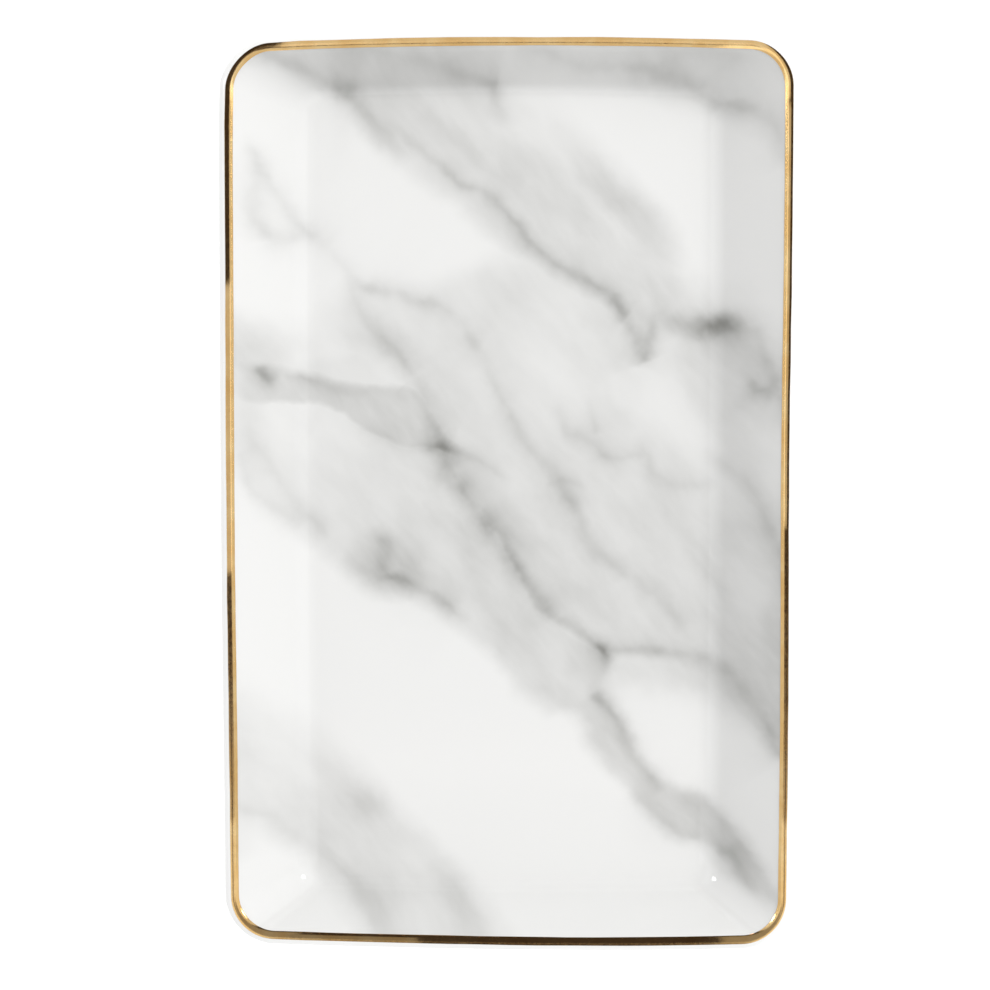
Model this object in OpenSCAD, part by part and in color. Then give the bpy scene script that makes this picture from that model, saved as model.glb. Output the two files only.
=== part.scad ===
// Dresser vanity tray: a shallow porcelain tray with a marbled glaze inside, a raised gold line round
// the lip and four silicone pads stuck inside the foot ring.
// Millimetres. Origin at the middle of the outline on the plane the pads stand on. +Z up, +Y the long way.

/* [Outline] */
// Overall width across the lip
tray_w = 128; // [105:1:170]
// Overall length along the lip
tray_l = 204; // [160:1:270]
// Height from the pad faces to the top of the lip
tray_h = 20; // [16:0.5:28]
// Radius of the lip's corners in plan
rim_corner_r = 11.5; // [8:0.5:16]
// Outward bow of the two short ends
end_bow = 0.8; // [0:0.1:2]
// Outward bow of the two long sides
side_bow = 0.3; // [0:0.1:2]

/* [Bowl] */
// From the lip's outer edge to the floor fold on the long sides
side_run = 17.5; // [12:0.5:19]
// From the lip's outer edge to the floor fold at the ends
end_run = 11; // [10:0.5:16]
// Radius of the floor's corners in plan
floor_corner_r = 5; // [4:0.5:9]
// Share of the run that the hollow fold takes each side of the fold line
fold_share = 0.18; // [0.08:0.01:0.3]
// Porcelain thickness under the floor, without glaze
floor_t = 3.1; // [2.5:0.1:4.5]
// Thickness of the sloping wall, glaze to glaze
wall_t = 3.6; // [2.8:0.1:4.5]
// Radius of the rounded lip
lip_r = 1.9; // [1.3:0.1:2]

/* [Glaze and gold] */
// Thickness of each glaze layer
glaze_t = 0.4; // [0.3:0.05:0.5]
// Height of the gold line over the glaze
gold_t = 0.2; // [0.1:0.05:0.3]
// Where the gold starts, in degrees round the lip from its outermost line
gold_start = 79; // [60:1:95]
// How far below the end of the lip's round the gold stops, in degrees
gold_stop_gap = 6; // [3:1:12]

/* [Foot and pads] */
// Width of the unglazed foot ring
foot_w = 2.4; // [1.8:0.1:3.5]
// Gap between the foot ring and the table
foot_clear = 0.8; // [0.4:0.1:1.2]
// Diameter of a silicone pad
pad_d = 10; // [6:0.5:14]
// Thickness of a silicone pad
pad_t = 2.2; // [1.9:0.1:3]
// Round on a pad's lower edge
pad_round = 0.6; // [0.3:0.1:0.9]
// From the floor fold line to a pad's middle
pad_inset = 11; // [10:0.5:20]
// Diameter of the adhesive disc over a pad
adhesive_d = 9; // [5:0.5:13]
// Thickness of the adhesive disc
adhesive_t = 0.3; // [0.2:0.05:0.5]

/* [Hidden] */

corner_steps = 12;
end_steps = 4;
side_steps = 6;
fold_steps = 6;
gold_steps = 4;
outer_lip_steps = 4;
turn_steps = 3;

// Heights
panel_z = pad_t + adhesive_t;
floor_z = panel_z + 2 * glaze_t + floor_t;
lip_z = tray_h - lip_r;
glaze_stop_z = foot_clear + 0.5;
foot_turn_z = panel_z + 0.1;

// The sloping wall in section: the line from the floor fold that just touches the lip's round.
// Sections are drawn for the mean run and stretched to each side's own.
mean_run = (side_run + end_run) / 2;
lip_rise = lip_z - floor_z;
lip_reach = mean_run - lip_r;
slope = atan2(lip_rise, lip_reach) + asin(lip_r / norm([lip_rise, lip_reach]));
lip_end = 90 + slope;
gold_stop = lip_end - gold_stop_gap;
wall_inset = lip_r * (1 + sin(slope));
wall_rise = lip_z + lip_r * cos(slope) - floor_z;

// The outer wall is the inner wall line moved out by the wall's thickness.
outer_shift = wall_t * sin(slope);
outer_drop = wall_t * cos(slope);
shoulder_blend = (mean_run - outer_shift) / (mean_run - wall_inset);
shoulder_z = floor_z - outer_drop + shoulder_blend * wall_rise;
foot_turn_blend = (foot_turn_z - floor_z + outer_drop) / wall_rise;
foot_out = foot_turn_blend * (mean_run - wall_inset) + outer_shift;
foot_edge = 0.3;
foot_in = foot_out - foot_w;

// A section point is [blend, shift, z]: blend 0 is the floor fold outline and 1 the lip's outer
// outline, and shift moves the blended outline outward.
function on_inner_wall(b) = [b, -wall_inset * b, floor_z + wall_rise * b];
function on_outer_wall(b) = [b, outer_shift - wall_inset * b, floor_z - outer_drop + wall_rise * b];
function on_lip(angle) = [1, lip_r * (cos(angle) - 1), lip_z + lip_r * sin(angle)];
function turn(p, corner, q) = [for (i = [0:turn_steps])
    let (s = i / turn_steps) (1 - s) * (1 - s) * p + 2 * s * (1 - s) * corner + s * s * q];

fold_curve = [for (i = [0:fold_steps])
    let (s = i / fold_steps, b = fold_share * (2 * s - 1))
    [b, -wall_inset * fold_share * s * s, floor_z + wall_rise * fold_share * s * s]];
wall_curve = [for (b = [0.4, 0.7]) on_inner_wall(b)];
gold_curve = [for (i = [0:gold_steps]) on_lip(gold_stop - (gold_stop - gold_start) * i / gold_steps)];
outer_lip_curve = [for (i = [1:outer_lip_steps]) on_lip(gold_start * (1 - i / outer_lip_steps))];
shoulder_curve = turn([1, 0, (lip_z + shoulder_z) / 2], [1, 0, shoulder_z], on_outer_wall(0.85));
foot_turn_curve = turn(on_outer_wall(0.06), [0, foot_out, foot_turn_z], [0, foot_out, foot_turn_z - 0.6]);

// Glazed surface from the middle of the floor over the lip and down to the foot ring
glazed_curve = concat(fold_curve, wall_curve, [on_lip(lip_end)], gold_curve, outer_lip_curve,
    shoulder_curve, [on_outer_wall(0.45)], foot_turn_curve, [[0, foot_out, glaze_stop_z]]);
gold_first = len(fold_curve) + len(wall_curve) + 1;
gold_last = gold_first + gold_steps;
glaze_join = gold_first + 2;
glazed_last = len(glazed_curve) - 1;

// Bare foot ring, then the glazed surface from inside the ring to the middle of the underside
foot_curve = [
    [0, foot_out - glaze_t, foot_clear + foot_edge],
    [0, foot_out - glaze_t - foot_edge, foot_clear],
    [0, foot_in + glaze_t + foot_edge, foot_clear],
    [0, foot_in + glaze_t, foot_clear + foot_edge]];
panel_curve = concat([[0, foot_in, glaze_stop_z]],
    turn([0, foot_in, panel_z - 0.7], [0, foot_in, panel_z], [0, foot_in - 1.2, panel_z]),
    [[0, foot_in - 2, panel_z]]);

// Outward normal of a section curve at point k, as [shift, z]
function along(p, q) = [(q[0] - p[0]) * mean_run + q[1] - p[1], q[2] - p[2]];
function normal_at(curve, k) =
    let (d = along(curve[max(k - 1, 0)], curve[min(k + 1, len(curve) - 1)]))
    [-d[1], d[0]] / norm(d);
function moved(curve, k, t) = let (n = normal_at(curve, k)) curve[k] + t * [0, n[0], n[1]];
function span(curve, from, to, t) = [for (k = [from:to]) moved(curve, k, t)];
function reversed(list) = [for (k = [len(list) - 1:-1:0]) list[k]];

// One outline in plan for a section point, anticlockwise seen from above
function outline(p) =
    let (
        hx = tray_w / 2 - side_run * (1 - p[0]) + p[1],
        hy = tray_l / 2 - end_run * (1 - p[0]) + p[1],
        r = max(floor_corner_r + (rim_corner_r - floor_corner_r) * p[0] + p[1], 0.5),
        cx = hx - side_bow - r,
        cy = hy - end_bow - r
    )
    [for (q = [0:3])
        let (sx = (q == 0 || q == 3) ? 1 : -1, sy = (q < 2) ? 1 : -1, steps = (q % 2 == 0) ? end_steps : side_steps)
        each concat(
            [for (i = [0:corner_steps])
                let (a = 90 * (q + i / corner_steps)) [sx * cx + r * cos(a), sy * cy + r * sin(a), p[2]]],
            [for (i = [1:steps - 1])
                let (s = 1 - 2 * i / steps)
                (q % 2 == 0)
                    ? [sy * cx * s, sy * (hy - end_bow * s * s), p[2]]
                    : [sx * (hx - side_bow * s * s), -sx * cy * s, p[2]]])];

// A closed skin over a loop of outlines. The link after outline "gap" is left out and both its
// outlines are capped; -1 means no gap. "flip" turns the faces the other way out.
module loft(curve, gap, flip) {
    count = len(curve);
    n = len(outline(curve[0]));
    links = [for (i = [0:count - 1]) if (i != gap)
        for (j = [0:n - 1])
            let (a = i * n + j, b = i * n + (j + 1) % n, c = ((i + 1) % count) * n + (j + 1) % n,
                d = ((i + 1) % count) * n + j)
            each flip ? [[a, c, b], [a, d, c]] : [[a, b, c], [a, c, d]]];
    forward = [for (j = [0:n - 1]) j];
    first_cap = forward + [for (j = forward) gap * n];
    second_cap = forward + [for (j = forward) ((gap + 1) % count) * n];
    caps = (gap < 0) ? [] : flip
        ? [reversed(first_cap), second_cap]
        : [first_cap, reversed(second_cap)];
    polyhedron(points = [for (p = curve) each outline(p)], faces = concat(links, caps), convexity = 6);
}

module porcelain_body() {
    curve = concat(span(glazed_curve, 0, glazed_last, -glaze_t), foot_curve,
        span(panel_curve, 0, len(panel_curve) - 1, -glaze_t));
    color([0.93, 0.92, 0.89]) loft(curve, len(curve) - 1, false);
}

module marble_glaze() {
    under = span(glazed_curve, 0, glaze_join, -glaze_t);
    over = span(glazed_curve, 0, glaze_join, 0);
    color([0.96, 0.96, 0.95]) loft(concat(under, reversed(over)), len(under) * 2 - 1, true);
}

module outer_glaze() {
    under = span(glazed_curve, glaze_join, glazed_last, -glaze_t);
    over = span(glazed_curve, glaze_join, glazed_last, 0);
    color([0.98, 0.98, 0.97]) loft(concat(under, reversed(over)), -1, true);
}

module underside_glaze() {
    last = len(panel_curve) - 1;
    under = span(panel_curve, 0, last, -glaze_t);
    over = span(panel_curve, 0, last, 0);
    color([0.97, 0.97, 0.96]) loft(concat(under, reversed(over)), last, true);
}

module gold_band() {
    crown = [for (k = [gold_first:gold_last])
        let (s = (k - gold_first) / gold_steps) moved(glazed_curve, k, gold_t * (0.4 + 2.4 * s * (1 - s)))];
    seat = span(glazed_curve, gold_first, gold_last, 0);
    color([0.83, 0.69, 0.44]) loft(concat(crown, reversed(seat)), -1, false);
}

module at_corner(sx, sy) {
    translate([sx * (tray_w / 2 - side_run - pad_inset), sy * (tray_l / 2 - end_run - pad_inset), 0]) children();
}

module pad() {
    color([0.86, 0.87, 0.88]) rotate_extrude($fn = 64) {
        translate([0, pad_round]) square([pad_d / 2, pad_t - pad_round]);
        square([pad_d / 2 - pad_round, pad_t]);
        translate([pad_d / 2 - pad_round, pad_round]) intersection() {
            circle(r = pad_round, $fn = 32);
            translate([0, -pad_round]) square(pad_round);
        }
    }
}

module adhesive() {
    color([0.78, 0.76, 0.70]) translate([0, 0, pad_t]) cylinder(d = adhesive_d, h = adhesive_t, $fn = 64);
}

module pad_back_left() { at_corner(-1, 1) pad(); }
module pad_back_right() { at_corner(1, 1) pad(); }
module pad_front_left() { at_corner(-1, -1) pad(); }
module pad_front_right() { at_corner(1, -1) pad(); }
module adhesive_back_left() { at_corner(-1, 1) adhesive(); }
module adhesive_back_right() { at_corner(1, 1) adhesive(); }
module adhesive_front_left() { at_corner(-1, -1) adhesive(); }
module adhesive_front_right() { at_corner(1, -1) adhesive(); }

porcelain_body();
marble_glaze();
outer_glaze();
underside_glaze();
gold_band();
pad_back_left();
pad_back_right();
pad_front_left();
pad_front_right();
adhesive_back_left();
adhesive_back_right();
adhesive_front_left();
adhesive_front_right();
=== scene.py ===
"""Looks for the porcelain vanity tray: marbled glaze, fired gold line, bare foot ring and silicone pads."""

import math

import bpy
from mathutils import Matrix, Vector, noise


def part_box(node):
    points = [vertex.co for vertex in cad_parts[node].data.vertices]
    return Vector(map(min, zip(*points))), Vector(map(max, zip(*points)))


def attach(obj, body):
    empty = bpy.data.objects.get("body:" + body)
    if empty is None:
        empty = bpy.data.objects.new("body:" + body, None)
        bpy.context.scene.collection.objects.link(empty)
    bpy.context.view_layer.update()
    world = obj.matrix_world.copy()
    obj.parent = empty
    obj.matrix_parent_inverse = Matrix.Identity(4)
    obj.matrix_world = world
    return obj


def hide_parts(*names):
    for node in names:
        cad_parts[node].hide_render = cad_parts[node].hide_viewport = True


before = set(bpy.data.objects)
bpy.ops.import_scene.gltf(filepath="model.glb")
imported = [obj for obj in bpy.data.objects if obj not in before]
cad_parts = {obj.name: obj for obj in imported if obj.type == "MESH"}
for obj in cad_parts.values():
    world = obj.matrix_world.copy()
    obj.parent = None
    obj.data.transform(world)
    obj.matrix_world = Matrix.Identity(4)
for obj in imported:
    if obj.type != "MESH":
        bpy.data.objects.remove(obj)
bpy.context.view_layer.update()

MM = 0.001


# ---------------------------------------------------------------- sizes, in millimetres
outer_low, outer_high = (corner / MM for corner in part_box("outer_glaze"))
marble_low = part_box("marble_glaze")[0] / MM
pad_low, pad_high = (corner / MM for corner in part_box("pad_front_left"))
film_low, film_high = (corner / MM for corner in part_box("adhesive_front_left"))

GLAZE = 0.4
HALF_W = outer_high.x
HALF_L = outer_high.y
LIP_TOP = outer_high.z
FLOOR_Z = marble_low.z + GLAZE
PANEL_Z = film_high.z
GLAZE_STOP_Z = outer_low.z
FOOT_CLEAR = GLAZE_STOP_Z - 0.5

SIDE_RUN = 17.5
END_RUN = 11.0
RIM_CORNER = 11.5
FLOOR_CORNER = 5.0
SIDE_BOW = 0.3
END_BOW = 0.8
LIP_R = 1.9
WALL = 3.6
FOLD_SHARE = 0.18
FOOT_W = 2.4
GOLD = 0.12
GOLD_EDGE = 0.03
GOLD_START = math.radians(79)
GOLD_GAP = math.radians(6)

SHOULDER_BLEND = 0.85
FOOT_BLEND = 0.06
FOOT_ROUND = 0.4
PANEL_TURN = 2.0

CORNER_STEPS = 20
END_STEPS = 16
SIDE_STEPS = 24

# ---------------------------------------------------------------- the tray's section
mean_run = (SIDE_RUN + END_RUN) / 2
lip_z = LIP_TOP - LIP_R
reach = Vector((mean_run - LIP_R, lip_z - FLOOR_Z))
slope = math.atan2(reach.y, reach.x) + math.asin(LIP_R / reach.length)
wall_inset = LIP_R * (1 + math.sin(slope))
wall_rise = lip_z + LIP_R * math.cos(slope) - FLOOR_Z
lip_end = math.pi / 2 + slope
gold_stop = lip_end - GOLD_GAP
outer_shift = WALL * math.sin(slope)
outer_drop = WALL * math.cos(slope)
shoulder_z = FLOOR_Z - outer_drop + wall_rise * (mean_run - outer_shift) / (mean_run - wall_inset)
foot_turn_z = PANEL_Z + 0.1
foot_turn_blend = (foot_turn_z - FLOOR_Z + outer_drop) / wall_rise
foot_out = foot_turn_blend * (mean_run - wall_inset) + outer_shift
foot_in = foot_out - FOOT_W


def steps(first, last, count):
    return [first + (last - first) * i / count for i in range(count + 1)]


def plan_samples():
    """Where each outline point sits: its corner, its turn there, and how far along the side it is."""
    found = []
    for quadrant in range(4):
        for turn in steps(quadrant, quadrant + 1, CORNER_STEPS):
            found.append(("corner", quadrant, turn * math.pi / 2))
        side_steps = END_STEPS if quadrant % 2 == 0 else SIDE_STEPS
        for along in steps(1, -1, side_steps)[1:-1]:
            found.append(("side", quadrant, along))
    return found


SAMPLES = plan_samples()


def outline_point(sample, blend, shift, z):
    """A point of the outline. Blend 0 is the floor fold, 1 the lip's outer edge. Shift moves it outward."""
    kind, quadrant, value = sample
    half_x = HALF_W - SIDE_RUN * (1 - blend) + shift
    half_y = HALF_L - END_RUN * (1 - blend) + shift
    radius = max(FLOOR_CORNER + (RIM_CORNER - FLOOR_CORNER) * blend + shift, 0.4)
    corner_x = half_x - SIDE_BOW - radius
    corner_y = half_y - END_BOW - radius
    sign_x = 1 if quadrant in (0, 3) else -1
    sign_y = 1 if quadrant < 2 else -1
    if kind == "corner":
        x = sign_x * corner_x + radius * math.cos(value)
        y = sign_y * corner_y + radius * math.sin(value)
    elif quadrant % 2 == 0:
        x = sign_y * corner_x * value
        y = sign_y * (half_y - END_BOW * value * value)
    else:
        x = sign_x * (half_x - SIDE_BOW * value * value)
        y = -sign_x * corner_y * value
    return Vector((x, y, z))


def on_inner_wall(blend):
    return (blend, -wall_inset * blend, FLOOR_Z + wall_rise * blend)


def on_outer_wall(blend):
    return (blend, outer_shift - wall_inset * blend, FLOOR_Z - outer_drop + wall_rise * blend)


def on_lip(angle):
    return (1, LIP_R * (math.cos(angle) - 1), lip_z + LIP_R * math.sin(angle))


def turned(start, corner, end, count):
    found = []
    for s in steps(0, 1, count):
        weights = ((1 - s) ** 2, 2 * s * (1 - s), s * s)
        found.append(tuple(sum(w * p[i] for w, p in zip(weights, (start, corner, end))) for i in range(3)))
    return found


fold_curve = []
for s in steps(0, 1, 16):
    lift = FOLD_SHARE * s * s
    fold_curve.append((FOLD_SHARE * (2 * s - 1), -wall_inset * lift, FLOOR_Z + wall_rise * lift))
wall_curve = [on_inner_wall(blend) for blend in steps(FOLD_SHARE, 1, 6)[1:]]
lip_curve = [on_lip(angle) for angle in steps(lip_end, 0, 24)[1:]]
shoulder_curve = turned((1, 0, (lip_z + shoulder_z) / 2), (1, 0, shoulder_z),
    on_outer_wall(SHOULDER_BLEND), 8)
outer_curve = [on_outer_wall(blend) for blend in steps(SHOULDER_BLEND, FOOT_BLEND, 5)[1:-1]]
foot_turn_curve = turned(on_outer_wall(FOOT_BLEND), (0, foot_out, foot_turn_z),
    (0, foot_out, foot_turn_z - 0.6), 6)
glazed_curve = fold_curve + wall_curve + lip_curve + shoulder_curve + outer_curve + foot_turn_curve
glazed_curve.append((0, foot_out, GLAZE_STOP_Z))
glaze_join = len(fold_curve) + len(wall_curve) + 4

panel_curve = [(0, foot_in, GLAZE_STOP_Z)]
panel_curve += turned((0, foot_in, PANEL_Z - 0.7), (0, foot_in, PANEL_Z), (0, foot_in - 1.2, PANEL_Z), 5)
panel_curve.append((0, foot_in - PANEL_TURN, PANEL_Z))


def moved(curve, thickness):
    """The section curve moved along its outward normal."""
    found = []
    for k, (blend, shift, z) in enumerate(curve):
        before = curve[max(k - 1, 0)]
        after = curve[min(k + 1, len(curve) - 1)]
        along = Vector(((after[0] - before[0]) * mean_run + after[1] - before[1], after[2] - before[2]))
        along.normalize()
        found.append((blend, shift - along.y * thickness, z + along.x * thickness))
    return found


def infill(point, half, count):
    """Outlines that close the flat field inside a section point."""
    blend, shift, z = point
    return [(blend, shift - inset, z) for inset in steps(half - 1.5, 0, count)[:-1]]


def hand_made(p):
    """The small waver of a hand-finished lip, with the back left corner a little flat, in millimetres."""
    weight = min(max((p.z - FLOOR_Z) / (LIP_TOP - FLOOR_Z), 0), 1)
    shake = noise.noise_vector(Vector((p.x / 45, p.y / 45, 3.7)))
    waver = Vector((shake.x * 0.16, shake.y * 0.16, shake.z * 0.10 - 0.06))
    far = Vector((p.x + HALF_W - 3, p.y - HALF_L + 3)).length
    flat = 0.55 * math.exp(-(far / 8) ** 2)
    pulled_in = 0.5 * math.exp(-((p.y - 5) / 45) ** 2) * max(p.x / HALF_W, 0)
    drawn_out = 0.7 * math.exp(-((p.x - 45) / 45) ** 2) * max(-p.y / HALF_L, 0) ** 4
    return p + (waver + Vector((flat - pulled_in, -flat - drawn_out, 0))) * weight


def mesh_piece(name, points, faces, material, sharp=50):
    mesh = bpy.data.meshes.new(name)
    mesh.from_pydata([hand_made(p) * MM for p in points], [], faces)
    mesh.validate()
    mesh.update()
    mesh.shade_smooth()
    mesh.set_sharp_from_angle(angle=math.radians(sharp))
    mesh.materials.append(material)
    piece = bpy.data.objects.new(name, mesh)
    bpy.context.scene.collection.objects.link(piece)
    return piece


def loft(name, rings, gap, flip, material):
    """Joins rings into one closed skin. The link after ring "gap" is capped, and None means a full loop."""
    count = len(rings)
    around = len(rings[0])
    faces = []
    for i in range(count):
        if i == gap:
            continue
        this = i * around
        following = ((i + 1) % count) * around
        for j in range(around):
            step = (j + 1) % around
            quad = (this + j, following + j, following + step, this + step)
            faces.append(quad[::-1] if flip else quad)
    if gap is not None:
        last = [gap * around + j for j in range(around)]
        first = [((gap + 1) % count) * around + j for j in range(around)]
        faces.append(last if flip else last[::-1])
        faces.append(first[::-1] if flip else first)
    return mesh_piece(name, [p for ring in rings for p in ring], faces, material)


def rings_of(curve):
    return [[outline_point(sample, *point) for sample in SAMPLES] for point in curve]


# ---------------------------------------------------------------- shader helpers
class Nodes:
    """A node tree, with one short call for each kind of node."""

    def __init__(self, tree):
        self.tree = tree
        self.column = 0

    def node(self, kind, **settings):
        made = self.tree.nodes.new(kind)
        for key, value in settings.items():
            setattr(made, key, value)
        made.location = (200 * (self.column % 12) - 3200, -180 * (self.column // 12))
        self.column += 1
        return made

    def feed(self, socket, value):
        if isinstance(value, bpy.types.NodeSocket):
            self.tree.links.new(value, socket)
        else:
            socket.default_value = value

    def math(self, operation, *values, clamp=False):
        made = self.node("ShaderNodeMath", operation=operation, use_clamp=clamp)
        for socket, value in zip(made.inputs, values):
            self.feed(socket, value)
        return made.outputs[0]

    def vector(self, operation, *values):
        made = self.node("ShaderNodeVectorMath", operation=operation)
        for socket, value in zip(made.inputs, values):
            self.feed(socket, value)
        return made.outputs[0]

    def dot(self, first, second):
        made = self.node("ShaderNodeVectorMath", operation="DOT_PRODUCT")
        self.feed(made.inputs[0], first)
        self.feed(made.inputs[1], second)
        return made.outputs["Value"]

    def position(self):
        """Object position in millimetres."""
        place = self.node("ShaderNodeTexCoord").outputs["Object"]
        return self.vector("MULTIPLY", place, (1 / MM, 1 / MM, 1 / MM))

    def noise(self, place, size, detail=2.0, roughness=0.5, colour=False):
        """Noise whose blobs are about the given size in millimetres."""
        made = self.node("ShaderNodeTexNoise")
        self.feed(made.inputs["Vector"], place)
        made.inputs["Scale"].default_value = 1 / size
        made.inputs["Detail"].default_value = detail
        made.inputs["Roughness"].default_value = roughness
        return made.outputs["Color" if colour else "Fac"]

    def spread(self, value, low, high, to_low=0.0, to_high=1.0, smooth=True):
        made = self.node("ShaderNodeMapRange", interpolation_type="SMOOTHSTEP" if smooth else "LINEAR")
        self.feed(made.inputs["Value"], value)
        made.inputs["From Min"].default_value = low
        made.inputs["From Max"].default_value = high
        made.inputs["To Min"].default_value = to_low
        made.inputs["To Max"].default_value = to_high
        return made.outputs["Result"]

    def mix(self, factor, first, second):
        made = self.node("ShaderNodeMix", data_type="RGBA")
        self.feed(made.inputs["Factor"], factor)
        self.feed(made.inputs[6], first)
        self.feed(made.inputs[7], second)
        return made.outputs[2]

    def curve(self, value, points):
        made = self.node("ShaderNodeFloatCurve")
        self.feed(made.inputs["Value"], value)
        mapping = made.mapping
        mapping.extend = "HORIZONTAL"
        line = mapping.curves[0]
        while len(line.points) < len(points):
            line.points.new(0.5, 0.5)
        for point, place in zip(line.points, points):
            point.location = place
            point.handle_type = "AUTO_CLAMPED"
        mapping.update()
        return made.outputs[0]

    def bump(self, height, distance_mm, strength=1.0, normal=None):
        made = self.node("ShaderNodeBump")
        made.inputs["Strength"].default_value = strength
        made.inputs["Distance"].default_value = distance_mm * MM
        self.feed(made.inputs["Height"], height)
        if normal is not None:
            self.feed(made.inputs["Normal"], normal)
        return made.outputs["Normal"]

    def split(self, vector):
        made = self.node("ShaderNodeSeparateXYZ")
        self.feed(made.inputs[0], vector)
        return made.outputs[0], made.outputs[1]


class Shader(Nodes):
    """A material with its principled surface."""

    def __init__(self, name):
        self.material = bpy.data.materials.new(name)
        self.material.use_nodes = True
        super().__init__(self.material.node_tree)
        self.bsdf = self.tree.nodes["Principled BSDF"]

    def surface(self, **inputs):
        for key, value in inputs.items():
            self.feed(self.bsdf.inputs[key.replace("_", " ")], value)


# ---------------------------------------------------------------- the marble print
# All places are in millimetres over the tray, seen from above.
# A field is a patch of grey between two banks: (softness of the near bank, softness of the far
# bank, near bank, far bank, strengths along it).
FIELDS = [
    # the back wall
    (7, 3,
        [(-64, 98), (-56, 98), (-48, 96.5), (-40, 93), (-34, 89.5), (-20, 88), (-10, 88), (0, 90),
            (10, 91.5), (20, 92), (30, 91), (38, 88.5), (44, 86), (50, 84), (56, 79), (64, 68)],
        [(-64, 106), (64, 106)],
        [(-58, 98, 0.05), (-46, 96, 0.12), (-36, 94, 0.22), (-25, 95, 0.19), (-12, 95, 0.18),
            (0, 95.5, 0.12), (9, 96, 0.08), (20, 97, 0.08), (32, 95, 0.15), (44, 92, 0.13),
            (54, 88, 0.12), (60, 80, 0.08)]),
    # the light side of the upper band, along the upper vein
    (7, 13,
        [(-58, 97.5), (-46, 95), (-38, 90.5), (-33, 84), (-29, 78), (-22, 73), (-14, 68), (-9, 62),
            (-3, 57), (4, 52), (12, 47), (20, 43), (25, 38), (30, 30)],
        [(-50, 106), (-20, 102), (-6, 94), (2, 87), (10, 79), (18, 70), (26, 63), (32, 56), (37, 48),
            (42, 42)],
        [(-56, 97, 0.08), (-40, 92, 0.16), (-30, 82, 0.24), (-15, 75, 0.17), (0, 68, 0.21),
            (14, 58, 0.23), (26, 48, 0.22), (34, 40, 0.14)]),
    # its dark side
    (12, 8,
        [(-4, 82), (4, 78), (12, 70), (20, 60), (28, 51), (34, 43)],
        [(2, 96), (8, 90), (13, 84), (18, 79), (25, 73), (31, 67), (36, 61), (38.5, 55), (40, 49),
            (43, 43)],
        [(4, 86, 0.03), (11, 80, 0.12), (18, 73, 0.22), (27, 64, 0.26), (34, 55, 0.23), (38, 47, 0.12)]),
    # the middle, above the main vein
    (5, 15,
        [(-38, 34), (-26, 24), (-14, 8), (-4, -8), (8, -29), (20, -37), (32, -37), (42, -38.5),
            (48, -41), (53, -45), (60, -57)],
        [(-38, 46), (-30, 46), (-20, 46), (-10, 50), (0, 53), (8, 52), (14, 48), (22, 44), (27, 38),
            (33, 33), (42, 32), (50, 26), (56, 14), (60, 2), (66, -10), (70, -30)],
        [(-36, 42, 0.07), (-20, 34, 0.14), (-8, 36, 0.17), (0, 30, 0.15), (10, 20, 0.16), (20, 0, 0.21),
            (30, -14, 0.21), (40, -26, 0.22), (50, -36, 0.20)]),
    # the main band, between the main vein and the white field
    (6, 6,
        [(-64, 14), (-58, 4), (-54, -4), (-48, -9), (-44, -12), (-38, -17.5), (-33, -21.5), (-27, -23),
            (-21, -24), (-15, -27), (-10, -32), (-3, -38), (4, -45), (9, -50), (15, -51), (18, -57),
            (22, -62), (27, -67), (31, -72), (38, -79), (46, -82), (52, -88), (60, -93)],
        [(-62, 30), (-54, 30), (-46, 29.5), (-38, 31), (-30, 31), (-26, 27), (-20, 22), (-16, 14),
            (-12, 5), (-8, -2), (-4, -8), (2, -17), (7, -27), (14, -32), (20, -36), (22, -42), (24, -48),
            (28, -55), (31, -61), (35, -66), (40, -68.5), (46, -71), (51, -75.5), (55, -81), (60, -88)],
        [(-58, 20, 0.05), (-50, 8, 0.10), (-42, 0, 0.15), (-34, -8, 0.20), (-27, -14, 0.29),
            (-18, -18, 0.25), (-8, -22, 0.24), (2, -30, 0.24), (10, -40, 0.21), (17, -48, 0.20),
            (22, -56, 0.26), (30, -66, 0.27), (40, -74, 0.29), (50, -81, 0.30), (58, -90, 0.18)]),
    # the wedge on the left that ends in the knot
    (2.5, 3.5,
        [(-58, 21), (-50, 20.5), (-44, 20.5), (-38, 18.5), (-33, 15), (-29, 12.5), (-24, 11), (-18, 10),
            (-13, 8.5)],
        [(-58, 29), (-50, 28), (-44, 27), (-36, 25.5), (-29, 25), (-23, 24), (-20, 22), (-17, 18),
            (-13, 12)],
        [(-57, 25, 0.14), (-52, 25, 0.22), (-46, 24, 0.30), (-36, 21, 0.32), (-28, 17, 0.34),
            (-20, 14, 0.30), (-14, 10, 0.28)]),
    # the grey side of the right wall
    (9, 4,
        [(48, -11), (46, -20), (45, -28), (44, -35), (49, -42), (55, -48), (60, -57)],
        [(60, -8), (68, -20), (70, -60)],
        [(54, -11, 0.04), (54, -20, 0.19), (54, -30, 0.25), (55, -40, 0.28), (58, -48, 0.28),
            (62, -57, 0.16)]),
    # the band in the front left corner
    (9, 11,
        [(-66, -62), (-59, -69), (-53, -76), (-47, -82), (-42, -88), (-37, -93), (-29, -100), (-24, -106)],
        [(-62, -38), (-56, -45), (-50, -51), (-44, -56), (-38, -61), (-32, -67), (-26, -74), (-20, -80),
            (-14, -86), (-8, -92), (-1, -99), (6, -106)],
        [(-64, -44, 0.06), (-56, -56, 0.10), (-48, -64, 0.15), (-39, -73, 0.22), (-30, -83, 0.20),
            (-22, -91, 0.19), (-14, -100, 0.18), (-8, -108, 0.18)]),
]
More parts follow.
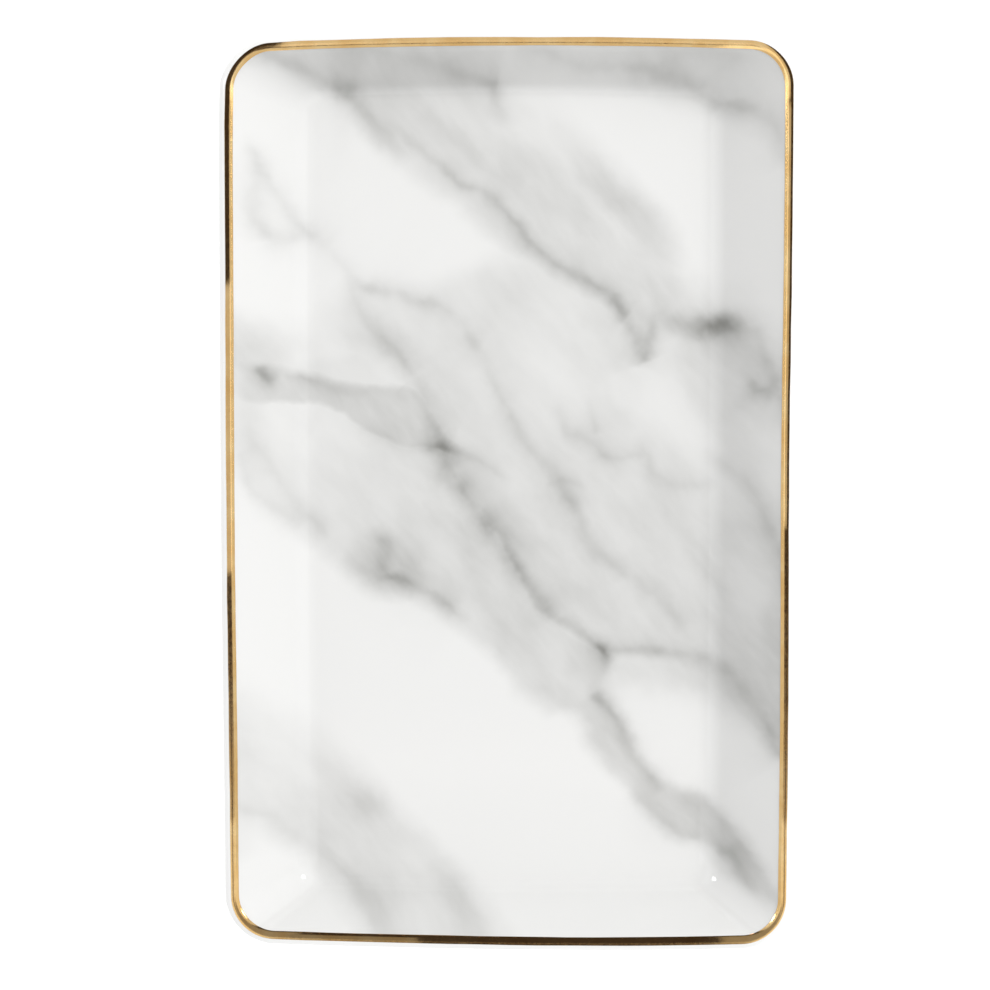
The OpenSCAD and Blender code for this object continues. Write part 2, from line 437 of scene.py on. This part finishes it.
# A smudge is a soft stroke of grey: (half width, places with strengths).
SMUDGES = [
    (3.0, [(36, 39, 0.12), (41, 38.5, 0.36), (46, 38, 0.56), (50, 38.5, 0.48), (54, 38, 0.22),
        (58, 38, 0.05)]),
    (6.5, [(42, 39, 0.12), (47, 35, 0.28), (53, 31, 0.24), (57, 26, 0.20), (60, 19, 0.12), (61, 14, 0.05)]),
    (5.0, [(34, 46, 0.05), (42, 45, 0.12), (48, 44, 0.10), (54, 44, 0.04)]),
    (5.0, [(16, -38, 0.06), (24, -40, 0.13), (33, -40.5, 0.17), (41, -41, 0.20), (48, -44, 0.18),
        (54, -49, 0.14)]),
    (5.5, [(-64, 33, 0.16), (-56, 33, 0.17), (-48, 33, 0.09), (-38, 33, 0.07), (-28, 33, 0.08),
        (-22, 32, 0.04)]),
    (4.5, [(-60, 40, 0.05), (-59, 28, 0.12), (-58.5, 17, 0.12), (-58, 6, 0.04)]),
    (2.6, [(-64, 97, 0.22), (-58, 98.5, 0.26), (-52, 99, 0.08)]),
    (4.0, [(-62, -46, 0.05), (-60, -58, 0.08), (-60, -70, 0.08), (-60, -80, 0.06)]),
    (2.4, [(-31, -9, 0.10), (-29, -11, 0.26), (-28, -16, 0.12)]),
    (4.0, [(-35, -14, 0.05), (-28, -17, 0.14), (-21, -20, 0.05)]),
    (2.6, [(1, -44, 0.05), (5, -46, 0.10), (9, -46, 0.04)]),
    (3.4, [(15, 74, 0.03), (20, 69, 0.06), (26, 64, 0.03)]),
    (3.6, [(-38, -71, 0.04), (-33, -73, 0.09), (-28, -73, 0.04)]),
    (3.6, [(-46, -79, 0.05), (-39, -87, 0.10), (-31, -96, 0.13), (-28, -100, 0.07)]),
    (3.2, [(-17, -86, 0.05), (-12, -92, 0.13), (-6, -98, 0.06)]),
    (2.0, [(-3, 91, 0.14), (-2, 86, 0.20), (0, 83, 0.05)]),
    (2.6, [(51, 5, 0.03), (54, -1, 0.10), (58, -8, 0.04)]),
    (3.4, [(44, -12, 0.04), (47, -22, 0.10), (48, -34, 0.06)]),
    (3.5, [(60, -19, 0.05), (60, -29, 0.13), (60, -38, 0.05)]),
    (3.0, [(-34, 87, 0.08), (-29, 82, 0.12), (-24, 77, 0.06)]),
    (3.2, [(-18, 86, 0.05), (-8, 78, 0.09), (2, 71, 0.05)]),
    (2.6, [(51, -81, 0.06), (54, -86, 0.10), (58, -90, 0.04)]),
]
# A clearing lifts the grey again.
CLEARINGS = [
    (7.0, [(28, 27, 0.35), (36, 18, 0.75), (44, 11, 0.62), (50, -2, 0.35)]),
    (6.0, [(0, 35, 0.10), (11, 27, 0.40), (20, 20, 0.20)]),
    (3.0, [(-46, 8, 0.10), (-42, 14, 0.35), (-34, 10, 0.10)]),
    (2.0, [(-36, 34, 0.20), (-30, 29, 0.55), (-25, 25, 0.40)]),
    (4.0, [(-10, 86, 0.10), (2, 83, 0.35), (10, 78, 0.15)]),
    (3.0, [(-22, -8, 0.10), (-16, -12, 0.25), (-8, -16, 0.05)]),
    (3.5, [(-20, 7, 0.10), (-17, 0, 0.35), (-12, -6, 0.10)]),
]
# A vein has a fine core and a soft tail: (half width, places with strengths).
VEINS = [
    # the wedge, its knot and the spur beyond it
    (1.3, [(-58, 28.5, 0.08), (-55, 27, 0.42), (-53, 24, 0.12)]),
    (1.2, [(-49, 27, 0.04), (-46, 26, 0.18), (-40, 24, 0.12), (-32, 23, 0.05)]),
    (1.0, [(-36, 17, 0.04), (-31, 13.5, 0.10), (-25, 11, 0.10), (-19, 10.5, 0.16), (-14, 10, 0.16)]),
    (2.0, [(-19, 10.5, 0.05), (-15, 10, 0.26), (-11, 9, 0.06)]),
    (0.9, [(-12, 9.5, 0.18), (-8, 8, 0.18), (-3, 5, 0.12), (0, 3, 0.03)]),
    # the main vein
    (1.5, [(-36, 48, 0.05), (-34, 41, 0.18), (-30, 35, 0.25), (-26, 31, 0.30), (-23, 28, 0.18)]),
    (1.9, [(-22, 27, 0.12), (-19, 22, 0.24), (-17, 18, 0.24), (-15, 13, 0.22), (-13, 8, 0.12)]),
    (2.2, [(-14, 9, 0.12), (-11, 4, 0.34), (-9.5, 0.5, 0.44), (-7, -3, 0.42), (-4, -7, 0.50),
        (-1, -11, 0.50), (2, -16, 0.42), (5, -22, 0.32), (8, -27, 0.20)]),
    (1.4, [(7, -26, 0.16), (10, -29, 0.24), (15, -31, 0.22), (20, -35, 0.26), (22, -38, 0.15)]),
    (1.5, [(21.5, -36, 0.18), (21.8, -39, 0.26), (21, -43, 0.08)]),
    (1.5, [(19, -45, 0.10), (21, -47, 0.36), (24, -51, 0.30), (28, -57, 0.22), (31, -62, 0.22),
        (34, -67, 0.14)]),
    (1.5, [(33, -66, 0.08), (40, -69, 0.12), (45, -71, 0.18), (50, -76, 0.16), (54, -81, 0.16),
        (58, -86, 0.14), (62, -91, 0.12)]),
    (1.4, [(29, -69, 0.08), (33, -73, 0.20), (39, -78, 0.18), (46, -80, 0.12), (50, -82, 0.22),
        (54, -87, 0.10), (58, -91, 0.06)]),
    # the upper vein
    (1.4, [(-57, 98, 0.10), (-50, 96, 0.22), (-44, 94.5, 0.25), (-38, 91.5, 0.25), (-34, 88, 0.10)]),
    (2.2, [(-40, 92, 0.06), (-36, 91.3, 0.30), (-32, 91, 0.06)]),
    (1.4, [(-33, 86, 0.08), (-27, 84, 0.10), (-20, 78, 0.18), (-14, 73, 0.24), (-11, 70.3, 0.28),
        (-6, 68.5, 0.24), (-2, 65, 0.26), (2, 60, 0.32), (8, 54, 0.30), (12, 51, 0.32), (18, 48, 0.26),
        (23, 45, 0.30), (25, 41, 0.22)]),
    (1.7, [(24, 43, 0.12), (27, 37, 0.26), (29.5, 31, 0.30)]),
    (1.7, [(35, 43, 0.04), (33, 39, 0.22), (31.5, 35, 0.24), (30, 30, 0.16)]),
    # the back wall
    (1.5, [(-38, 99, 0.08), (-28, 98, 0.12), (-18, 96, 0.16), (-9, 93, 0.26), (-4, 91.8, 0.32),
        (-2, 90, 0.08)]),
    (1.6, [(4, 99, 0.12), (12, 96, 0.16), (24, 95, 0.18), (31, 94.6, 0.26), (38, 93, 0.22),
        (43, 90, 0.20), (48, 87.5, 0.26), (53, 87, 0.12)]),
    (1.8, [(52, 87, 0.10), (57, 83, 0.14), (60, 75, 0.16)]),
    (1.8, [(34, 96, 0.04), (40, 97.5, 0.10), (47, 97.5, 0.12), (53, 96, 0.04)]),
    # from the left wall across the middle
    (1.5, [(-58, 79, 0.04), (-56, 75, 0.20), (-53, 69, 0.18), (-50, 64, 0.16), (-47, 60.5, 0.18),
        (-42, 57, 0.08)]),
    (1.6, [(-44, 57, 0.06), (-38, 52, 0.12), (-34, 48, 0.20), (-31, 47, 0.28), (-25, 45, 0.22),
        (-20, 43, 0.22), (-15, 42, 0.20), (-11, 39, 0.12), (-8, 34, 0.10)]),
    (1.6, [(-10, 38, 0.06), (-6, 30, 0.13), (-2, 22, 0.20), (1, 17, 0.22), (4, 11, 0.20), (8, 6, 0.16),
        (11, 2, 0.20), (14, -2, 0.22), (18, -9, 0.17), (22, -14, 0.19), (26, -17, 0.10)]),
    (1.4, [(24, -17, 0.04), (30, -20, 0.13), (36, -25, 0.13), (40, -29, 0.07)]),
    (1.7, [(-56, 72, 0.06), (-57, 65, 0.13), (-55, 59, 0.13)]),
    (1.7, [(-56, 61, 0.08), (-52, 57, 0.13), (-46, 58, 0.08)]),
    # small ones right of the middle
    (1.3, [(11, 19, 0.06), (14, 14, 0.18), (18, 12, 0.16), (21, 9, 0.20), (25, 8, 0.13), (29, 9, 0.08)]),
    (1.5, [(30, 12, 0.06), (31.5, 8, 0.15), (34, 4, 0.18), (38, 1.5, 0.16), (45, 1.5, 0.08)]),
    (1.2, [(18.5, 21, 0.04), (19.5, 15, 0.11)]),
    (1.0, [(9, 2, 0.08), (13, 2.5, 0.10), (17, 2, 0.04)]),
    (1.5, [(46, 9, 0.06), (50, 6, 0.14), (54, 2, 0.12), (56, -3, 0.13), (59, -9, 0.18), (62, -13, 0.16)]),
    (1.6, [(61, -12, 0.10), (61.5, -18, 0.18), (61, -24, 0.06)]),
    (1.4, [(19, -36, 0.10), (26, -36, 0.16), (32, -36, 0.28), (38, -36.8, 0.20), (45, -37, 0.10)]),
    (1.8, [(44, -37, 0.08), (49, -40, 0.22), (52, -43, 0.18), (56, -47, 0.22), (59, -53, 0.34),
        (61, -57, 0.28)]),
    (1.5, [(53, 27, 0.06), (55, 23.5, 0.32), (58, 23, 0.24)]),
    (1.5, [(56, 36, 0.12), (58, 29, 0.22), (60, 23, 0.22), (62, 17, 0.16)]),
    # the left edge of the main band
    (1.3, [(-58, 15, 0.04), (-54, 8, 0.11), (-51, 2, 0.11), (-48, -3, 0.14), (-45, -6, 0.16),
        (-42, -9, 0.08)]),
    (1.2, [(-59, 9, 0.08), (-56, 0, 0.13), (-52, -4, 0.10), (-48, -6, 0.08)]),
    (1.5, [(-37, -16, 0.06), (-29, -19, 0.20), (-24, -19.5, 0.30), (-19, -22, 0.18), (-15, -24, 0.30),
        (-11, -28, 0.08)]),
    # the front left corner
    (1.5, [(-61, -69, 0.08), (-55, -73, 0.13), (-49, -79, 0.10)]),
]


# The widest swing of a stroke across its own frame, in millimetres.
SPAN = 120.0


class Run:
    """A stroke's own frame: how far along it a place lies, as a share of its length, and how far across."""

    def __init__(self, points, fade):
        first = Vector(points[0][:2])
        run = Vector(points[-1][:2]) - first
        self.length = run.length
        self.fade = min(fade / run.length, 0.4)
        self.ahead = run.normalized()
        self.aside = Vector((-self.ahead.y, self.ahead.x))
        self.first = first

    def share(self, step):
        """The distance along, scaled so that 0 and 1 are the ends with their fades."""
        return (step / self.length + self.fade) / (1 + 2 * self.fade)

    def parts(self, sh, place):
        scale = 1 / (self.length * (1 + 2 * self.fade))
        along = sh.dot(place, self.ahead.to_3d() * scale)
        along = sh.math("ADD", along, self.share(-self.first.dot(self.ahead)))
        across = sh.math("SUBTRACT", sh.dot(place, self.aside.to_3d()), self.first.dot(self.aside))
        return along, across

    def line(self, sh, along, points):
        """A line's distance across the run in millimetres. The curve itself stays between 0 and 1."""
        steps_of = [Vector(point[:2]) - self.first for point in points]
        scaled = [(self.share(s.dot(self.ahead)), s.dot(self.aside) / SPAN + 0.5) for s in steps_of]
        return sh.math("MULTIPLY_ADD", sh.curve(along, scaled), SPAN, -0.5 * SPAN)

    def strength(self, sh, along, points):
        steps_of = [(Vector(point[:2]) - self.first).dot(self.ahead) for point in points]
        shares = [(self.share(step), point[2]) for step, point in zip(steps_of, points)]
        return sh.curve(along, [(0, 0)] + shares + [(1, 0)])



def field(sh, place, near_soft, far_soft, near, far, strengths):
    run = Run(strengths, 7)
    along, across = run.parts(sh, place)
    inside = sh.spread(sh.math("SUBTRACT", across, run.line(sh, along, near)), -near_soft / 2, near_soft / 2)
    short = sh.spread(sh.math("SUBTRACT", run.line(sh, along, far), across), -far_soft / 2, far_soft / 2)
    return sh.math("MULTIPLY", sh.math("MULTIPLY", inside, short), run.strength(sh, along, strengths))


def stroke(sh, place, half_width, points, fine):
    run = Run(points, half_width * (1.5 if fine else 0.8))
    along, across = run.parts(sh, place)
    away = sh.math("MULTIPLY", sh.math("SUBTRACT", across, run.line(sh, along, points)), 1 / half_width)
    if fine:
        fall = sh.math("POWER", sh.math("MULTIPLY_ADD", away, away, 1.0), 0.8)
    else:
        fall = sh.math("POWER", 3.0, sh.math("MULTIPLY", away, away))
    return sh.math("DIVIDE", run.strength(sh, along, points), fall)


def marble_amount(sh, place):
    """The print's darkness, from 0 on the white field to 1 in a vein's darkest core."""
    flat = sh.vector("MULTIPLY", place, (1, 1, 0))
    drift = flat
    for size, shift in ((24, 3.0), (7, 2.2), (2.2, 0.8)):
        shake = sh.vector("SUBTRACT", sh.noise(flat, size, 1.0, 0.5, colour=True), (0.5, 0.5, 0.5))
        drift = sh.vector("ADD", drift, sh.vector("MULTIPLY", shake, (shift, shift, 0)))
    grey = 0.0
    for near_soft, far_soft, near, far, strengths in FIELDS:
        grey = sh.math("MAXIMUM", grey, field(sh, drift, near_soft, far_soft, near, far, strengths))
    for half_width, points in CLEARINGS:
        lifted = stroke(sh, drift, half_width, points, False)
        grey = sh.math("MULTIPLY", grey, sh.math("SUBTRACT", 1.0, lifted, clamp=True))
    for half_width, points in SMUDGES:
        grey = sh.math("ADD", grey, stroke(sh, drift, half_width, points, False))
    combed = sh.node("ShaderNodeMapping", vector_type="TEXTURE")
    sh.feed(combed.inputs["Vector"], drift)
    combed.inputs["Rotation"].default_value = (0, 0, math.radians(-50))
    combed.inputs["Scale"].default_value = (2.6, 1.0, 1.0)
    mottle = sh.noise(combed.outputs[0], 8, 3.0, 0.5)
    grey = sh.math("MULTIPLY", grey, sh.spread(mottle, 0.3, 0.7, 0.66, 1.34, smooth=False))
    veins = 0.0
    for half_width, points in VEINS:
        veins = sh.math("ADD", veins, stroke(sh, drift, half_width, points, True))
    broken = sh.noise(flat, 9, 3.0, 0.55)
    veins = sh.math("MULTIPLY", veins, sh.spread(broken, 0.3, 0.7, 0.65, 1.25, smooth=False))
    return sh.spread(sh.math("ADD", grey, veins), 0.01, 1.0, smooth=False)


def marble_material():
    sh = Shader("marble_glaze")
    place = sh.position()
    amount = marble_amount(sh, place)
    pale = (0.80, 0.80, 0.79, 1)
    grey = (0.185, 0.185, 0.17, 1)
    colour = sh.mix(amount, pale, grey)
    ripple = sh.noise(place, 14, 1.0, 0.4)
    grain = sh.noise(place, 1.3, 2.0, 0.5)
    rough = sh.spread(grain, 0.2, 0.8, 0.04, 0.08, smooth=False)
    normal = sh.bump(ripple, 0.12, 0.35)
    normal = sh.bump(grain, 0.01, 0.2, normal)
    sh.surface(Base_Color=colour, Roughness=rough, Normal=normal, IOR=1.5)
    return sh.material


def white_glaze_material(name):
    sh = Shader(name)
    place = sh.position()
    cloud = sh.noise(place, 18, 2.0, 0.5)
    colour = sh.mix(cloud, (0.86, 0.86, 0.85, 1), (0.90, 0.90, 0.895, 1))
    speck = sh.noise(place, 0.5, 1.0, 0.4)
    specked = sh.spread(speck, 0.76, 0.82)
    colour = sh.mix(sh.math("MULTIPLY", specked, 0.25), colour, (0.55, 0.52, 0.47, 1))
    ripple = sh.noise(place, 9, 1.0, 0.4)
    rough = sh.spread(cloud, 0.2, 0.8, 0.07, 0.14, smooth=False)
    normal = sh.bump(ripple, 0.1, 0.35)
    sh.surface(Base_Color=colour, Roughness=rough, Normal=normal, IOR=1.5)
    return sh.material


def bare_material():
    sh = Shader("bare_porcelain")
    place = sh.position()
    grain = sh.noise(place, 0.35, 3.0, 0.6)
    cloud = sh.noise(place, 6, 2.0, 0.5)
    colour = sh.mix(cloud, (0.80, 0.77, 0.71, 1), (0.86, 0.84, 0.79, 1))
    speck = sh.spread(sh.noise(place, 0.6, 1.0, 0.5), 0.72, 0.8)
    colour = sh.mix(sh.math("MULTIPLY", speck, 0.4), colour, (0.45, 0.36, 0.27, 1))
    rough = sh.spread(grain, 0.2, 0.8, 0.62, 0.82, smooth=False)
    sh.surface(Base_Color=colour, Roughness=rough, Normal=sh.bump(grain, 0.04, 0.6))
    return sh.material


def gold_material():
    sh = Shader("fired_gold")
    place = sh.position()
    cloud = sh.noise(place, 7, 3.0, 0.6)
    fine = sh.noise(place, 0.7, 3.0, 0.6)
    colour = sh.mix(sh.spread(cloud, 0.3, 0.7), (0.78, 0.50, 0.20, 1), (0.87, 0.62, 0.30, 1))
    rough = sh.spread(fine, 0.25, 0.75, 0.10, 0.22, smooth=False)
    normal = sh.bump(fine, 0.02, 0.35)
    sh.surface(Base_Color=colour, Metallic=1.0, Roughness=rough, Normal=normal)
    return sh.material


def silicone_material():
    sh = Shader("silicone")
    place = sh.position()
    cloud = sh.noise(place, 3, 2.0, 0.5)
    grain = sh.noise(place, 0.25, 2.0, 0.6)
    colour = sh.mix(cloud, (0.66, 0.67, 0.68, 1), (0.74, 0.75, 0.755, 1))
    rough = sh.spread(grain, 0.2, 0.8, 0.34, 0.5, smooth=False)
    sh.surface(Base_Color=colour, Roughness=rough, Normal=sh.bump(grain, 0.02, 0.4))
    sh.bsdf.inputs["Subsurface Weight"].default_value = 0.25
    sh.bsdf.inputs["Subsurface Radius"].default_value = (0.001, 0.001, 0.001)
    return sh.material


def adhesive_material():
    sh = Shader("adhesive")
    place = sh.position()
    cloud = sh.noise(place, 1.5, 3.0, 0.6)
    colour = sh.mix(cloud, (0.55, 0.52, 0.45, 1), (0.64, 0.61, 0.54, 1))
    rough = sh.spread(cloud, 0.2, 0.8, 0.5, 0.7, smooth=False)
    sh.surface(Base_Color=colour, Roughness=rough, Normal=sh.bump(cloud, 0.03, 0.4))
    return sh.material


# ---------------------------------------------------------------- the pieces
def finish_piece(piece, slot, *nodes):
    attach(piece, "root")
    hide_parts(*nodes)
    return piece


white_glaze = white_glaze_material("white_glaze")
floor_half = HALF_W - SIDE_RUN * (1 + FOLD_SHARE)
panel_half = HALF_W - SIDE_RUN + foot_in - PANEL_TURN

over = infill(glazed_curve[0], floor_half, 8) + glazed_curve[:glaze_join + 1]
under = moved(glazed_curve, -GLAZE)[:glaze_join + 1]
marble = loft("marble_glaze_skin", rings_of(under + over[::-1]), len(under + over) - 1, True,
    marble_material())
finish_piece(marble, "marble_glaze", "marble_glaze")

outer_over = glazed_curve[glaze_join:]
outer_under = moved(glazed_curve, -GLAZE)[glaze_join:]
outer = loft("outer_glaze_skin", rings_of(outer_under + outer_over[::-1]), None, True, white_glaze)
finish_piece(outer, "white_glaze", "outer_glaze")

panel_over = panel_curve + infill(panel_curve[-1], panel_half, 5)[::-1]
panel_under = moved(panel_curve, -GLAZE)
panel = loft("underside_glaze_skin", rings_of(panel_under + panel_over[::-1]), len(panel_under) - 1, True,
    white_glaze)
finish_piece(panel, "white_glaze", "underside_glaze")

core_out = foot_out - GLAZE
core_in = foot_in + GLAZE
foot_curve = turned((0, core_out, FOOT_CLEAR + FOOT_ROUND), (0, core_out, FOOT_CLEAR),
    (0, core_out - FOOT_ROUND, FOOT_CLEAR), 4)
foot_curve += turned((0, core_in + FOOT_ROUND, FOOT_CLEAR), (0, core_in, FOOT_CLEAR),
    (0, core_in, FOOT_CLEAR + FOOT_ROUND), 4)
body_curve = moved(glazed_curve, -GLAZE) + foot_curve + moved(panel_curve, -GLAZE)
body = loft("porcelain_core", rings_of(body_curve), len(body_curve) - 1, False, bare_material())
finish_piece(body, "bare_porcelain", "porcelain_body")


def gold_rings():
    """The band's crown and seat. Its edges waver a little, as a line drawn by brush on a wheel does."""
    crown = []
    seat = []
    for s in (0, 0.01, 0.05, 0.12, 0.25, 0.4, 0.55, 0.7, 0.82, 0.9, 0.95, 0.99, 1):
        crown_ring = []
        seat_ring = []
        for sample in SAMPLES:
            place = outline_point(sample, 1, 0, 0)
            waver = noise.noise(Vector((place.x / 9, place.y / 9, 1.3)))
            drift = noise.noise(Vector((place.x / 30, place.y / 30, 8.1)))
            first = gold_stop + math.radians(2.5) * waver + math.radians(2) * drift
            last = GOLD_START - math.radians(3) * waver + math.radians(3) * drift
            angle = first + (last - first) * s
            height = GOLD_EDGE + (GOLD - GOLD_EDGE) * min(1, 102 * s * (1 - s))
            blend, shift, z = on_lip(angle)
            rise = Vector((math.cos(angle), math.sin(angle))) * height
            crown_ring.append(outline_point(sample, blend, shift + rise.x, z + rise.y))
            seat_ring.append(outline_point(sample, blend, shift, z))
        crown.append(crown_ring)
        seat.append(seat_ring)
    return crown + seat[::-1]


gold = loft("gold_line", gold_rings(), None, False, gold_material())
finish_piece(gold, "gold", "gold_band")


def lathe(name, profile, centre, material, segments=56):
    """A closed round piece from a profile of (radius, z) that starts and ends on the axis."""
    points = [Vector((centre.x, centre.y, profile[0][1]))]
    for radius, z in profile[1:-1]:
        for i in range(segments):
            angle = 2 * math.pi * i / segments
            reach_x = radius * math.cos(angle)
            reach_y = radius * math.sin(angle)
            points.append(Vector((centre.x + reach_x, centre.y + reach_y, z)))
    points.append(Vector((centre.x, centre.y, profile[-1][1])))
    faces = []
    rows = len(profile) - 2
    for i in range(segments):
        step = (i + 1) % segments
        faces.append((0, 1 + step, 1 + i))
        for row in range(rows - 1):
            low = 1 + row * segments
            high = low + segments
            faces.append((low + i, low + step, high + step, high + i))
        top = 1 + (rows - 1) * segments
        faces.append((len(points) - 1, top + i, top + step))
    return mesh_piece(name, points, faces, material, sharp=40)


def pad_profile():
    radius = (pad_high.x - pad_low.x) / 2
    top = pad_high.z
    edge = 0.6
    profile = [(0, 0.10), (1.2, 0.10), (1.6, 0.0), (2.9, 0.0), (3.1, 0.12), (3.5, 0.12), (3.7, 0.0)]
    for angle in steps(-90, 0, 6):
        turn = math.radians(angle)
        profile.append((radius - edge + edge * math.cos(turn), edge + edge * math.sin(turn)))
    profile += [(radius, top - 0.25), (radius - 0.25, top), (0, top)]
    return profile


silicone = silicone_material()
adhesive = adhesive_material()
for corner in ("back_left", "back_right", "front_left", "front_right"):
    low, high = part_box("pad_" + corner)
    centre = (low + high) / 2 / MM
    pad = lathe("silicone_pad_" + corner, pad_profile(), centre, silicone)
    finish_piece(pad, "silicone", "pad_" + corner)
    film_r = (film_high.x - film_low.x) / 2
    film_profile = [(0, film_low.z), (film_r - 0.1, film_low.z), (film_r, film_low.z + 0.08),
        (film_r, film_high.z - 0.08), (film_r - 0.1, film_high.z), (0, film_high.z)]
    film = lathe("adhesive_film_" + corner, film_profile, centre, adhesive)
    finish_piece(film, "adhesive", "adhesive_" + corner)

# ---------------------------------------------------------------- floor
floor_mesh = bpy.data.meshes.new("studio_floor")
FLOOR_HALF = 3.0
floor_mesh.from_pydata(
    [(-FLOOR_HALF, -FLOOR_HALF, 0), (FLOOR_HALF, -FLOOR_HALF, 0), (FLOOR_HALF, FLOOR_HALF, 0),
        (-FLOOR_HALF, FLOOR_HALF, 0)], [], [(0, 1, 2, 3)])
floor = bpy.data.objects.new("studio_floor", floor_mesh)
bpy.context.scene.collection.objects.link(floor)
floor_shader = Shader("studio_floor")
floor_shader.surface(Base_Color=(0.86, 0.86, 0.86, 1), Roughness=0.9, Emission_Color=(1, 1, 1, 1),
    Emission_Strength=0.36)
floor_mesh.materials.append(floor_shader.material)

# ---------------------------------------------------------------- camera
DISTANCE = 0.45
AIM = Vector((-0.0029, 0.00045, LIP_TOP * MM))
FRAME_WIDTH = 0.219
SIDE_TILT = math.radians(1.0)
BACK_TILT = math.radians(3.7)
camera_data = bpy.data.cameras.new("camera")
camera_data.sensor_width = 36
camera_data.lens = 36 * DISTANCE / FRAME_WIDTH
camera = bpy.data.objects.new("camera", camera_data)
back = Vector((math.sin(SIDE_TILT), math.sin(BACK_TILT), 1)).normalized()
camera.location = AIM + back * DISTANCE
right = Vector((0, 1, 0)).cross(back).normalized()
up = back.cross(right)
camera.rotation_euler = Matrix((right, up, back)).transposed().to_euler()
bpy.context.scene.collection.objects.link(camera)
bpy.context.scene.camera = camera


# ---------------------------------------------------------------- light
KEY_WAY = (0.49, 0.33, 0.81)
KEY_DISTANCE = 2.4
KEY_SIZE = 1.4
KEY_POWER = 27.0
LIP_PANEL_Z = 0.035
LIP_PANEL_RADIANCE = 0.75
FILL = 0.80
DARK = 0.04
# Small round lamps that only gloss sees: (direction, radius in degrees, strength).
GLINTS = [
    ((0.80, 0.28, 0.53), 7, 12.0),
    ((-0.80, 0.28, 0.53), 7, 12.0),
    ((-0.28, 0.86, 0.42), 4, 5.0),
]


def disk_light(name, direction, distance, size, power):
    data = bpy.data.lights.new(name, "AREA")
    data.shape = "DISK"
    data.size = size
    data.energy = power
    lamp = bpy.data.objects.new(name, data)
    place = Vector(direction).normalized() * distance
    lamp.location = place
    lamp.rotation_euler = place.to_track_quat("Z", "Y").to_euler()
    bpy.context.scene.collection.objects.link(lamp)
    return lamp


key = disk_light("key", KEY_WAY, KEY_DISTANCE, KEY_SIZE, KEY_POWER)
key.visible_glossy = False

only_gold = bpy.data.collections.new("lit_by_the_lip_panels")
only_gold.objects.link(gold)


def lip_panel(name, x, y, size_x, size_y, radiance):
    """A small panel close over the lip. It lights only the gold line."""
    data = bpy.data.lights.new(name, "AREA")
    data.shape = "RECTANGLE"
    data.size = size_x
    data.size_y = size_y
    data.energy = radiance * math.pi * size_x * size_y
    lamp = bpy.data.objects.new(name, data)
    lamp.location = (x, y, LIP_PANEL_Z)
    lamp.visible_camera = False
    bpy.context.scene.collection.objects.link(lamp)
    lamp.light_linking.receiver_collection = only_gold


lip_panel("back_lip_panel", 0.004, 0.100, 0.111, 0.022, LIP_PANEL_RADIANCE)
lip_panel("left_lip_panel", -0.061, 0.0145, 0.022, 0.066, 0.62)
lip_panel("right_lip_panel", 0.055, 0.040, 0.013, 0.096, 0.55)
lip_panel("front_lip_panel", -0.036, -0.101, 0.030, 0.024, 0.20)
lip_panel("front_left_lip_panel", -0.061, -0.092, 0.024, 0.032, 0.28)
lip_panel("front_right_lip_panel", 0.061, -0.092, 0.024, 0.032, 0.28)

world = bpy.data.worlds.new("studio")
world.use_nodes = True
sky = Nodes(world.node_tree)
way = sky.node("ShaderNodeTexCoord").outputs["Generated"]
way_x, way_y = sky.split(way)
aside = sky.math("ABSOLUTE", way_x)


def between(value, low, high, soft):
    risen = sky.spread(value, low - soft, low + soft)
    fallen = sky.spread(value, high - soft, high + soft, 1.0, 0.0)
    return sky.math("MULTIPLY", risen, fallen)


# What the gloss sees: a pale room with a dark ceiling, a dark stand in front and small lamps.
ceiling = sky.math("MULTIPLY", between(aside, -0.5, 0.47, 0.03), between(way_y, -0.19, 0.94, 0.03))
stand = sky.math("MULTIPLY", between(aside, -0.5, 0.125, 0.01), between(way_y, -0.64, -0.20, 0.02))
dark = sky.math("MAXIMUM", ceiling, stand)
seen = sky.math("MULTIPLY_ADD", dark, DARK - FILL, FILL)
for lamp_way, lamp_radius, lamp_strength in GLINTS:
    toward = Vector(lamp_way).normalized()
    facing = sky.dot(way, toward)
    edge = math.cos(math.radians(lamp_radius))
    middle = math.cos(math.radians(lamp_radius / 2))
    seen = sky.math("MULTIPLY_ADD", sky.spread(facing, edge, middle), lamp_strength, seen)
glossy = sky.node("ShaderNodeLightPath").outputs["Is Glossy Ray"]
strength = sky.node("ShaderNodeMix", data_type="FLOAT")
sky.feed(strength.inputs["Factor"], glossy)
shade = sky.math("MULTIPLY", dark, glossy)
strength.inputs["A"].default_value = FILL
sky.feed(strength.inputs["B"], seen)
background = world.node_tree.nodes["Background"]
sky.feed(background.inputs["Color"], sky.mix(shade, (1, 1, 1, 1), (1, 0.72, 0.62, 1)))
sky.feed(background.inputs["Strength"], strength.outputs["Result"])
bpy.context.scene.world = world
bpy.context.scene.view_settings.view_transform = "Standard"
